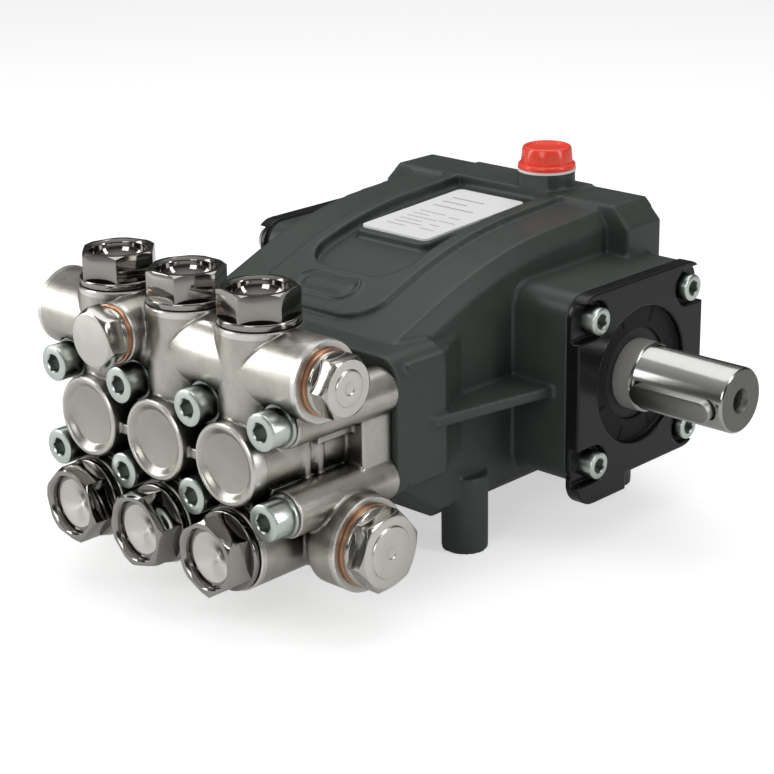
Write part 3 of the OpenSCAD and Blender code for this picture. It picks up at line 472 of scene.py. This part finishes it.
def metal(name, dark, light, gloss, size=0.5, depth=0.004, edge=None, highlight_band=(0.53, 0.62), shade_reach=None):
    """A metal with a faint grain, mottled from a dark to a light colour; with a reach given, painted shade darkens its
    crevices.
    """
    material = grained(new_material(name, dark, gloss[0], 1.0), dark, light, gloss, size, depth, edge, highlight_band)
    if shade_reach:
        tree = material.node_tree
        base = tree.nodes["Principled BSDF"].inputs["Base Color"]
        unshaded = base.links[0].from_socket
        # Ambient occlusion darkens the colour towards 0.16 of the dark colour: painted shade in crevices and between
        # parts.
        open_air = tree.nodes.new("ShaderNodeAmbientOcclusion")
        open_air.samples = 6
        open_air.inputs["Distance"].default_value = shade_reach * mm
        shade = arithmetic(tree, "POWER", open_air.outputs["AO"], 1.7)
        tree.links.new(mixed(tree, shade, tuple(0.16 * part for part in dark), unshaded), base)
    return material


def lathe_turned(material, stretch=0.8):
    """Stretches a metal's highlights across its turning marks, round the part's own axis."""
    tree = material.node_tree
    shader = tree.nodes["Principled BSDF"]
    shader.inputs["Anisotropic"].default_value = stretch
    around = tree.nodes.new("ShaderNodeTangent")
    around.direction_type = "RADIAL"
    around.axis = "Z"
    tree.links.new(around.outputs[0], shader.inputs["Tangent"])
    return material


# ---------------------------------------------------------------- badge
# A plain oval ring cast on the front slope of the case. It is left empty inside.
# It lies on the slope, so it takes the tilt of the roof line there.

badge_slope = math.radians(21.8)
badge_place = Matrix.Translation(at(0.0, -77.3, 34.85)) @ Matrix.Rotation(badge_slope, 4, "X")


def oval(half, radius, height, steps=16):
    """The outline of a stadium, as points at one height."""
    points = []
    for side in (1, -1):
        for step in range(steps + 1):
            angle = math.pi * (step / steps - 0.5)
            points.append(Vector((side * (half + radius * math.cos(angle)),
                                  side * radius * math.sin(angle), height)) * mm)
    return points


badge_bm = bmesh.new()
rows = [[badge_bm.verts.new(point) for point in oval(8.5, radius, height)]
        for radius, height in ((6.7, 0.2), (6.45, 1.7), (6.15, 2.0), (5.6, 2.0), (5.3, 1.7), (5.1, 0.4))]
for lower, upper in zip(rows, rows[1:]):
    for index in range(len(lower)):
        after = (index + 1) % len(lower)
        badge_bm.faces.new((lower[index], lower[after], upper[after], upper[index]))
bmesh.ops.recalc_face_normals(badge_bm, faces=badge_bm.faces)
bmesh.ops.transform(badge_bm, verts=badge_bm.verts, matrix=badge_place)
stand_in(built(badge_bm, "badge_ring", black_paint), "pump_body", "cast_black")

# ---------------------------------------------------------------- valve manifold
# A forged brass block under thick satin nickel, bead blasted all over.
# Its bosses and the three front discs are turned bright afterwards, which leaves crisp rims.

# The nickel gets a near-white painted highlight on its edges, and painted shade in its hollows and crevices.
satin_nickel = metal("satin_nickel_plate", (0.38, 0.365, 0.33), (0.68, 0.655, 0.60), (0.20, 0.40),
                     size=0.45, depth=0.035, edge=(0.92, 0.90, 0.85), highlight_band=(0.52, 0.58), shade_reach=9.0)
bright_nickel = lathe_turned(metal("bright_turned_nickel", (0.60, 0.58, 0.53), (0.74, 0.72, 0.67), (0.18, 0.28)), 0.6)
blasted_nickel = metal("blasted_disc_floor", (0.36, 0.35, 0.32), (0.52, 0.50, 0.46), (0.40, 0.52),
                       size=0.7, depth=0.12)
manifold = casting("valve_manifold", "valve_manifold_forging", 0.55, 2, 198000, satin_nickel)
stand_in(manifold, "pump_body", "satin_nickel", "valve_manifold")

pitch = 35.0
columns = (-pitch, 0.0, pitch)
disc_face = -161.2
outlet_row, tower_top = -143.2, 45.0
inlet_face, inlet_row = -159.4, -30.0
outlet_gallery_end, outlet_gallery_height = 65.0, 31.0
inlet_gallery_end, inlet_gallery_depth = 66.6, -127.0
front_port, front_port_height = -161.5, 34.3

disc = turned((14.0, -6.0), (14.5, -5.4), (14.5, -0.9), (14.3, -0.35), (13.8, 0.05), (13.2, 0.12),
              (12.75, 0.06), (12.55, -0.12), (10.45, -1.58), (10.1, -1.68), (0.0, -1.7))
tinted(disc, 1, 0.0, 10.3, -3.0, 0.0)
tinted(disc, 2, 10.3, 12.6, -1.65, -0.1)
for piece in placed(disc, "front_disc", [facing_front(x, disc_face, 0.0) for x in columns],
                    satin_nickel, blasted_nickel, bright_nickel):
    stand_in(piece, "pump_body", "satin_nickel")


def boss_rim(outer, inner, depth=2.4):
    """The turned end of a boss, with a broken corner."""
    return turned((outer - 0.1, -depth), (outer + 0.06, -depth + 0.15), (outer + 0.06, -0.45),
                  (outer - 0.35, 0.03), (inner, 0.03), (inner, -0.6))


rims = joined(
    repeated(boss_rim(14.4, 12.2), [facing_up(x, outlet_row, tower_top) for x in columns]),
    repeated(boss_rim(14.7, 12.2), [facing_front(x, inlet_face, inlet_row) for x in columns]),
    repeated(boss_rim(13.9, 7.6), [facing_side(side * outlet_gallery_end, outlet_row, outlet_gallery_height,
                                               sign=side) for side in (1, -1)]),
    repeated(boss_rim(16.6, 9.4), [facing_side(side * inlet_gallery_end, inlet_gallery_depth, inlet_row,
                                               sign=side) for side in (1, -1)]),
    repeated(boss_rim(10.5, 5.6), [facing_front(-pitch / 2, front_port, front_port_height)]),
)
stand_in(smooth_faces(built(rims, "turned_boss_rims", satin_nickel)), "pump_body", "satin_nickel")

# ---------------------------------------------------------------- valve caps
# Six screwed caps in dark polished nickel. Each has a round flange, a hexagon with its corners
# chamfered, and a dish that ends in a cone. The lower ones are shallow, with a bright floor.

# The dark nickel gets painted shade in its crevices.
dark_nickel = metal("polished_dark_nickel", (0.30, 0.29, 0.27), (0.40, 0.385, 0.36), (0.06, 0.12), shade_reach=5.0)
cap_bright = lathe_turned(metal("turned_cap_floor", (0.62, 0.605, 0.57), (0.80, 0.785, 0.74), (0.22, 0.30)), 0.9)


cap_rim = 12.2
shallow = 5.0


def valve_cap(neck, dish, cone):
    """A cap's hexagon head and its screwed neck, drawn from the boss that it closes."""
    rim = cap_rim
    screw = break_edges(turned((0.0, 6.0), (0.0, -neck + 1), (5.3, -neck), (11.3, -neck), (11.85, -neck + 0.6),
                               (11.85, 0.6), (14.0, 0.6), (14.0, 2.5), (13.7, 2.8), (10.4, 2.9), (0.0, 5.9)), 0.2)
    bowl = ([(10.0, rim - 1.4), (10.0, rim - dish), (8.7, rim - dish), (0.3, rim - dish - 0.97 * cone)]
            if dish < shallow else
            [(10.0 * math.cos(a), rim - 1.4 - (dish - 0.6) * math.sin(a)) for a in
             (math.radians(9 * step) for step in range(9))])
    head = mill_flats(turned((9.9, 2.8), (13.86, 2.8), (13.86, rim - 0.9), (12.5, rim), (10.8, rim),
                             (10.1, rim - 0.9), *bowl, (0.0, rim - dish - cone)), 24.0)
    break_edges(head, 0.22)
    return head, screw


for name, neck, dish, cone, places in (
    ("outlet_valve_caps", 10.0, 8.0, 1.6,
     [facing_up(x, outlet_row, tower_top, turn) for x, turn in zip(columns, (-14, -29, 18))]),
    ("inlet_valve_caps", 8.0, 2.8, 3.4,
     [facing_front(x, inlet_face, inlet_row, turn) for x, turn in zip(columns, (16, -16, 2))]),
):
    head, screw = valve_cap(neck, dish, cone)
    if dish < shallow:
        tinted(head, 1, 0.0, 8.65, 0.0, cap_rim - dish + 0.01)
    for piece in placed(joined(head, screw), name + "_turned", places, dark_nickel, cap_bright):
        stand_in(piece, "pump_body", "dark_nickel", name)

# ---------------------------------------------------------------- port plugs
# Three hexagon plugs close the galleries on the drive side and in front. Their faces are skimmed
# in the lathe after plating, and each bears on a soft copper washer.

plug_side = metal("plug_flats", (0.50, 0.485, 0.45), (0.58, 0.56, 0.52), (0.12, 0.18))


def plug(across, flange, thread, length, crown=True):
    """A hexagon plug, drawn from its washer. The crowned ones have a raised centre on their face."""
    corner = across / math.sqrt(3)
    screw = break_edges(turned((0.0, -length), (thread - 0.8, -length), (thread - 0.1, -length + 0.7),
                               (thread - 0.1, 0.0), (flange, 0.0), (flange, 1.7), (flange - 0.5, 2.2),
                               (0.0, 2.2)), 0.15)
    face = ([(across / 2 - 3.2, 8.5), (across / 2 - 3.5, 8.7), (across / 2 - 3.6, 9.0),
             (across / 2 - 3.9, 9.1), (2.2, 9.1), (1.9, 8.9), (0.0, 8.9)] if crown else
            [(across / 2 - 0.8, 8.7), (0.0, 8.8)])
    head = mill_flats(turned((0.0, 2.1), (corner, 2.1), (corner, 7.3), (across / 2 - 0.2, 8.5), *face), across)
    tinted(head, 1, 0.0, across / 2 - 0.1, 8.45, 9.2)
    return joined(break_edges(head, 0.2, angle=32.0), screw)


washer_thickness = 1.5
for blank, place in (
    (plug(19.0, 10.8, 7.5, 10.0),
     facing_side(outlet_gallery_end + washer_thickness, outlet_row, outlet_gallery_height)),
    (plug(25.0, 13.9, 9.3, 8.5),
     facing_side(inlet_gallery_end + washer_thickness, inlet_gallery_depth, inlet_row, 10.0)),
    (plug(19.0, 9.9, 5.5, 8.0, crown=False),
     facing_front(-pitch / 2, front_port - washer_thickness, front_port_height, 12.0)),
):
    for piece in placed(blank, "port_plug_turned", [place], plug_side, bright_nickel):
        stand_in(piece, "pump_body", "satin_nickel", "port_plugs")

copper = metal("soft_copper", (0.50, 0.26, 0.15), (0.62, 0.34, 0.21), (0.26, 0.36))


def washer(inner, outer, thick=washer_thickness):
    """A flat ring with its edges eased."""
    return break_edges(turned((inner, 0.0), (outer, 0.0), (outer, thick), (inner, thick), (inner, 0.0)), 0.25)


washers = joined(
    repeated(washer(7.7, 11.3), [facing_side(outlet_gallery_end, outlet_row, outlet_gallery_height)]),
    repeated(washer(9.5, 14.3), [facing_side(inlet_gallery_end, inlet_gallery_depth, inlet_row)]),
    repeated(washer(5.7, 10.3), [facing_front(-pitch / 2, front_port, front_port_height)]),
)
stand_in(smooth_faces(built(washers, "plug_washers_turned", copper)), "pump_body", "copper", "plug_washers")

# ---------------------------------------------------------------- bolts
# Zinc plated cap screws: eight M8 through the manifold on washers, and four M6 in each cover.
# The sockets are forged, so their mouths are countersunk.

# The zinc gets painted shade in its crevices.
zinc = metal("bright_zinc_plate", (0.54, 0.60, 0.56), (0.66, 0.72, 0.68), (0.24, 0.33), size=0.8, shade_reach=5.0)
socket_zinc = metal("forged_socket", (0.30, 0.33, 0.31), (0.38, 0.41, 0.39), (0.35, 0.45))


def cap_screw(head, height, shank, length, socket, depth, crown=0.8):
    """A cap screw, drawn from under its head."""
    blank = turned((0.0, -length), (shank - 0.6, -length), (shank, -length + 0.6), (shank, 0.0), (head, 0.0),
                   (head, height - crown), (head - 0.25 * crown, height - 0.35 * crown),
                   (head - crown, height), (0.0, height), segments=64)
    corner = socket / math.sqrt(3)
    mouth = turned((0.0, height - 0.45), (corner - 0.35, height - 0.45), (corner + 0.35, height + 0.3),
                   (0.0, height + 0.3), segments=48)
    screw = carved(carved(blank, prism(6, corner, height - depth, height + 1.0, 30.0)), mouth)
    tinted(screw, 1, 0.0, corner + 0.02, height - depth - 0.2, height - 0.5)
    return screw


bolt_seat, bolt_row, bolt_washer = -151.6, 15.6, 1.6
bolt_centres = [(x, z) for x in (-1.5 * pitch, -0.5 * pitch, 0.5 * pitch, 1.5 * pitch) for z in (-bolt_row, bolt_row)]
head_places = [facing_front(x, bolt_seat - bolt_washer, z) for x, z in bolt_centres]
head_screws = repeated(cap_screw(6.5, 8.0, 4.0, 64.5, 6.0, 4.6), head_places)
stand_in(smooth_faces(built(head_screws, "head_bolts_forged", zinc, socket_zinc)), "pump_body", "zinc", "head_bolts")
washer_places = [facing_front(x, bolt_seat, z) for x, z in bolt_centres]
stand_in(smooth_faces(built(repeated(washer(4.3, 7.5, bolt_washer), washer_places), "head_bolt_washers_pressed", zinc)),
         "pump_body", "zinc", "head_bolt_washers")
screw_seat, screw_half = 78.8, 27.0
cover_places = [facing_side(side * screw_seat, y, z, sign=side) for side in (1, -1)
                for y in (-screw_half, screw_half) for z in (-screw_half, screw_half)]
cover_screws = repeated(cap_screw(5.0, 6.0, 2.4, 14.5, 5.0, 3.2), cover_places)
stand_in(smooth_faces(built(cover_screws, "side_cover_screws_forged", zinc, socket_zinc)),
         "pump_body", "zinc", "side_cover_screws")

# ---------------------------------------------------------------- drive shaft
# The crankshaft forging with its drive end ground bright: a journal for the seal, a shoulder, and
# the keyed nose with a threaded hole in its end.

ground_steel = metal("ground_steel_finish", (0.40, 0.40, 0.385), (0.48, 0.475, 0.46), (0.13, 0.19))
sawn_steel = metal("faced_shaft_end", (0.16, 0.165, 0.15), (0.21, 0.215, 0.20), (0.38, 0.48))
seal_journal = metal("satin_seal_journal", (0.56, 0.55, 0.52), (0.68, 0.67, 0.64), (0.30, 0.38))
seal_journal.node_tree.nodes["Principled BSDF"].inputs["Metallic"].default_value = 0.55
shaft_end = 125.4
thread = [(3.4 + 0.55 * (index % 2), 106.0 + 0.62 * index) for index in range(30)]
nose = turned((0.0, 79.0), (13.0, 79.0), (13.0, 86.3), (12.75, 86.75), (12.2, 87.0), (12.0, 87.05),
              (12.0, shaft_end - 1.0), (11.75, shaft_end - 0.4), (11.2, shaft_end), (4.6, shaft_end),
              *reversed(thread), (3.3, 106.0), (0.0, 105.0), segments=128)
tinted(nose, 1, 3.0, 11.3, 125.2, 126.0)
tinted(nose, 1, 0.0, 4.5, 104.0, 125.3)
tinted(nose, 2, 12.8, 13.1, 79.1, 86.4)


def key_blank(width, length, low, high, middle):
    """A bar with round ends under the front of the shaft, turned to where the key sits."""
    half, radius = (length - width) / 2, width / 2
    bm = bmesh.new()
    floor = [bm.verts.new(point) for point in oval(half, radius, low)]
    solid = bmesh.ops.extrude_face_region(bm, geom=[bm.faces.new(floor)])
    top = [item for item in solid["geom"] if isinstance(item, bmesh.types.BMVert)]
    bmesh.ops.translate(bm, verts=top, vec=(0, 0, (high - low) * mm))
    bmesh.ops.recalc_face_normals(bm, faces=bm.faces)
    bmesh.ops.transform(bm, verts=bm.verts, matrix=Matrix.Rotation(math.radians(8.5), 4, "X")
                        @ Matrix.Translation((middle * mm, 0, 0)) @ Matrix.Rotation(math.radians(90), 4, "X"))
    return bm


slot_length, slot_end_wall = 36.3, 2.2
slot_middle = shaft_end - slot_end_wall - slot_length / 2
bmesh.ops.transform(nose, verts=nose.verts, matrix=Matrix.Rotation(math.radians(90), 4, "Y"))
nose = carved(nose, key_blank(8.1, slot_length, 8.0, 16.0, slot_middle))
break_edges(nose, 0.12, angle=40.0, segments=1)
bmesh.ops.transform(nose, verts=nose.verts, matrix=Matrix.Translation(crank))
forging = bmesh.new()
forging.from_mesh(frame["nodes"]["crankshaft"].data)
bmesh.ops.remove_doubles(forging, verts=forging.verts, dist=0.005 * mm)
bmesh.ops.bisect_plane(forging, geom=forging.verts[:] + forging.edges[:] + forging.faces[:],
                       plane_co=at(79.5, 0, 0), plane_no=(1, 0, 0), clear_outer=True)
shaft = built(joined(forging, nose), "crankshaft_ground", ground_steel, sawn_steel, seal_journal)
stand_in(smooth_faces(shaft), "crank", "ground_steel", "crankshaft")

# The key's edge colour is a painted highlight, and its hollows get painted shade.
key_steel = metal("bright_drawn_key", (0.15, 0.16, 0.15), (0.19, 0.20, 0.19), (0.34, 0.42),
                  edge=(0.6, 0.6, 0.57), highlight_band=(0.52, 0.58))
key = break_edges(key_blank(8.0, 34.4, 8.02, 15.0, slot_middle - 0.1), 0.35, angle=50.0)
bmesh.ops.transform(key, verts=key.verts, matrix=Matrix.Translation(crank))
stand_in(smooth_faces(built(key, "drive_key_drawn", key_steel)), "crank", "ground_steel", "drive_key")

# ---------------------------------------------------------------- side covers
# Two square die castings that close the bearing housings, painted gloss black. The drive side
# has a recess with eight grooves round the shaft seal.

# The gloss black gets a painted highlight on its edges and painted shade in its hollows.
gloss_black = grained(new_material("gloss_black_paint", (0.008, 0.008, 0.009), 0.2),
                      (0.005, 0.006, 0.0055), (0.009, 0.010, 0.0095), (0.16, 0.26),
                      size=0.9, depth=0.01, edge=(0.07, 0.075, 0.072), highlight_band=(0.56, 0.68))
gloss_black.node_tree.nodes["Principled BSDF"].inputs["Specular IOR Level"].default_value = 0.3
recess_black = grained(new_material("unpolished_black", (0.006, 0.006, 0.006), 0.5),
                       (0.004, 0.0045, 0.004), (0.008, 0.009, 0.008), (0.50, 0.62), size=0.9, depth=0.02)
recess_black.node_tree.nodes["Principled BSDF"].inputs["Specular IOR Level"].default_value = 0.25
for node in ("drive_side_cover", "blind_side_cover"):
    cover = casting(node, node + "_casting", 0.35, 2, 110000, gloss_black, recess_black)
    for face in cover.data.polygons:
        place = (face.center - crank) / mm
        face.material_index = int(abs(place.x) < 81.0 and math.hypot(place.y, place.z) < 25.4)
    stand_in(cover, "pump_body", "gloss_black", node)

# ---------------------------------------------------------------- rear cover
# A ribbed plate in the crankcase's paint. Its sight glass has a turned bezel round an amber
# window, set back where a knock can't reach it.

rear = casting("rear_cover", "rear_cover_casting", 0.45, 2, 110000, black_paint)
stand_in(rear, "pump_body", "cast_black", "rear_cover")

# The bezel gets painted shade in its crevices.
bezel = metal("polished_bezel", (0.66, 0.68, 0.69), (0.78, 0.80, 0.81), (0.10, 0.18), shade_reach=4.0)
amber = grained(new_material("amber_window", (0.5, 0.26, 0.04), 0.06),
                (0.42, 0.20, 0.03), (0.58, 0.31, 0.06), (0.04, 0.08), size=3.0, depth=0.004)
glass_place = [Matrix.Translation(at(0.0, 46.6, -8.0)) @ Matrix.Rotation(math.radians(-90), 4, "X")]
ring_bm = break_edges(turned((6.0, -6.0), (8.95, -6.0), (8.95, 0.0), (11.5, 0.0), (11.5, 2.0), (7.0, 2.0),
                             (7.0, 0.5), (6.0, 0.5), (6.0, -6.0)), 0.25)
window_bm = turned((0.0, -5.0), (5.95, -5.0), (5.95, -2.2), (5.6, -2.0), (0.0, -1.9))
for piece in (*placed(ring_bm, "sight_bezel", glass_place, bezel),
              *placed(window_bm, "sight_window", glass_place, amber)):
    stand_in(piece, "pump_body", "sight", "sight_glass")

# ---------------------------------------------------------------- oil cap
# A moulded red filler cap with a wide flange, a grip and a dished top, on a white fibre gasket.

red_plastic = grained(new_material("red_moulding", (0.80, 0.035, 0.018), 0.25),
                      (0.98, 0.070, 0.038), (1.0, 0.090, 0.050), (0.16, 0.24), size=0.9, depth=0.01)
white_fibre = grained(new_material("white_fibre", (0.85, 0.85, 0.82), 0.6),
                      (0.80, 0.80, 0.77), (0.88, 0.88, 0.86), (0.5, 0.65), size=0.4, depth=0.02)
cap_skirt = turned((0.0, 0.5), (4.8, -10.6), (6.2, -11.0), (6.7, -10.5), (6.7, -0.2), (10.7, 0.0), (11.0, 0.35),
                   (11.0, 1.5), (10.6, 2.0), (9.0, 2.2), (0.0, 2.2))
cap_grip = turned((0.0, 1.8), (9.95, 1.8), (9.75, 4.0), (9.45, 7.4), (9.1, 8.2), (8.4, 8.5), (7.7, 8.45),
                  (7.4, 8.1), (7.25, 7.7), (0.0, 7.6))
mill_flats(cap_grip, 19.0, 10.0, 8)
break_edges(cap_grip, 0.35, angle=20.0)
oil_cap = repeated(joined(cap_skirt, cap_grip), [facing_up(15.0, 27.0, 61.7)])
stand_in(smooth_faces(built(oil_cap, "oil_cap_moulded", red_plastic), 45.0), "filler_cap", "red_plastic", "oil_cap")

# ---------------------------------------------------------------- label
# A blank white plate. Thin grey rules stand where the print would be, and nothing is written.

label_white = grained(new_material("label_white_film", (0.85, 0.85, 0.84), 0.35),
                      (0.93, 0.94, 0.935), (0.96, 0.97, 0.965), (0.28, 0.36), size=2.0, depth=0.004)
label_ink = new_material("label_grey_rule", (0.42, 0.42, 0.43), 0.5)
label_place = Matrix.Translation(at(0.0, -15.2, 49.3)) @ Matrix.Rotation(math.radians(2.9), 4, "X")


def rule(bm, left, bottom, width, height):
    """One printed bar on the label."""
    corners = ((left, bottom), (left + width, bottom), (left + width, bottom + height), (left, bottom + height))
    bm.faces.new([bm.verts.new(Vector((x, y, 0.07)) * mm) for x, y in corners])


rules_bm = bmesh.new()
for index, (indent, width) in enumerate(((3, 9), (3, 14), (3, 11), (3, 15), (3, 8), (3, 13))):
    rule(rules_bm, -13.5 + indent, -20.0 + index * 3.6, width, 0.55)
for index, width in enumerate((7, 5, 8, 6)):
    rule(rules_bm, 5.0, -19.0 + index * 5.2, width, 0.55)
for index, width in enumerate((20, 12, 16)):
    rule(rules_bm, -11.0, 6.0 + index * 5.5, width, 0.8)
bmesh.ops.transform(rules_bm, verts=rules_bm.verts, matrix=label_place)
stand_in(built(rules_bm, "label_rules", label_ink, smooth=False), "pump_body", "label_foil")

# ---------------------------------------------------------------- every other part
# Parts whose drawn shape is already the real one keep it, and take their finish here.

rubber = grained(new_material("moulded_rubber", (0.015, 0.015, 0.015), 0.6),
                 (0.012, 0.012, 0.012), (0.020, 0.020, 0.020), (0.5, 0.7), size=0.6, depth=0.02)
ceramic = grained(new_material("ground_ceramic", (0.9, 0.88, 0.84), 0.15),
                  (0.86, 0.84, 0.79), (0.90, 0.88, 0.84), (0.10, 0.18), size=0.8, depth=0.002)
brass = metal("machined_brass", (0.70, 0.50, 0.25), (0.80, 0.60, 0.32), (0.22, 0.32))
finishes = {
    "cast_black": black_paint, "gloss_black": gloss_black, "satin_nickel": satin_nickel,
    "dark_nickel": dark_nickel, "zinc": zinc, "ground_steel": ground_steel, "copper": copper,
    "brass": brass, "rubber": rubber, "ceramic": ceramic, "red_plastic": red_plastic,
    "white_plastic": white_fibre, "label_foil": label_white, "sight": bezel,
}
slots = {part["node"]: part["material_slot"] for part in frame["record"]["subparts"]}
for node, piece in frame["nodes"].items():
    piece.data.materials.clear()
    piece.data.materials.append(finishes[slots[node]])
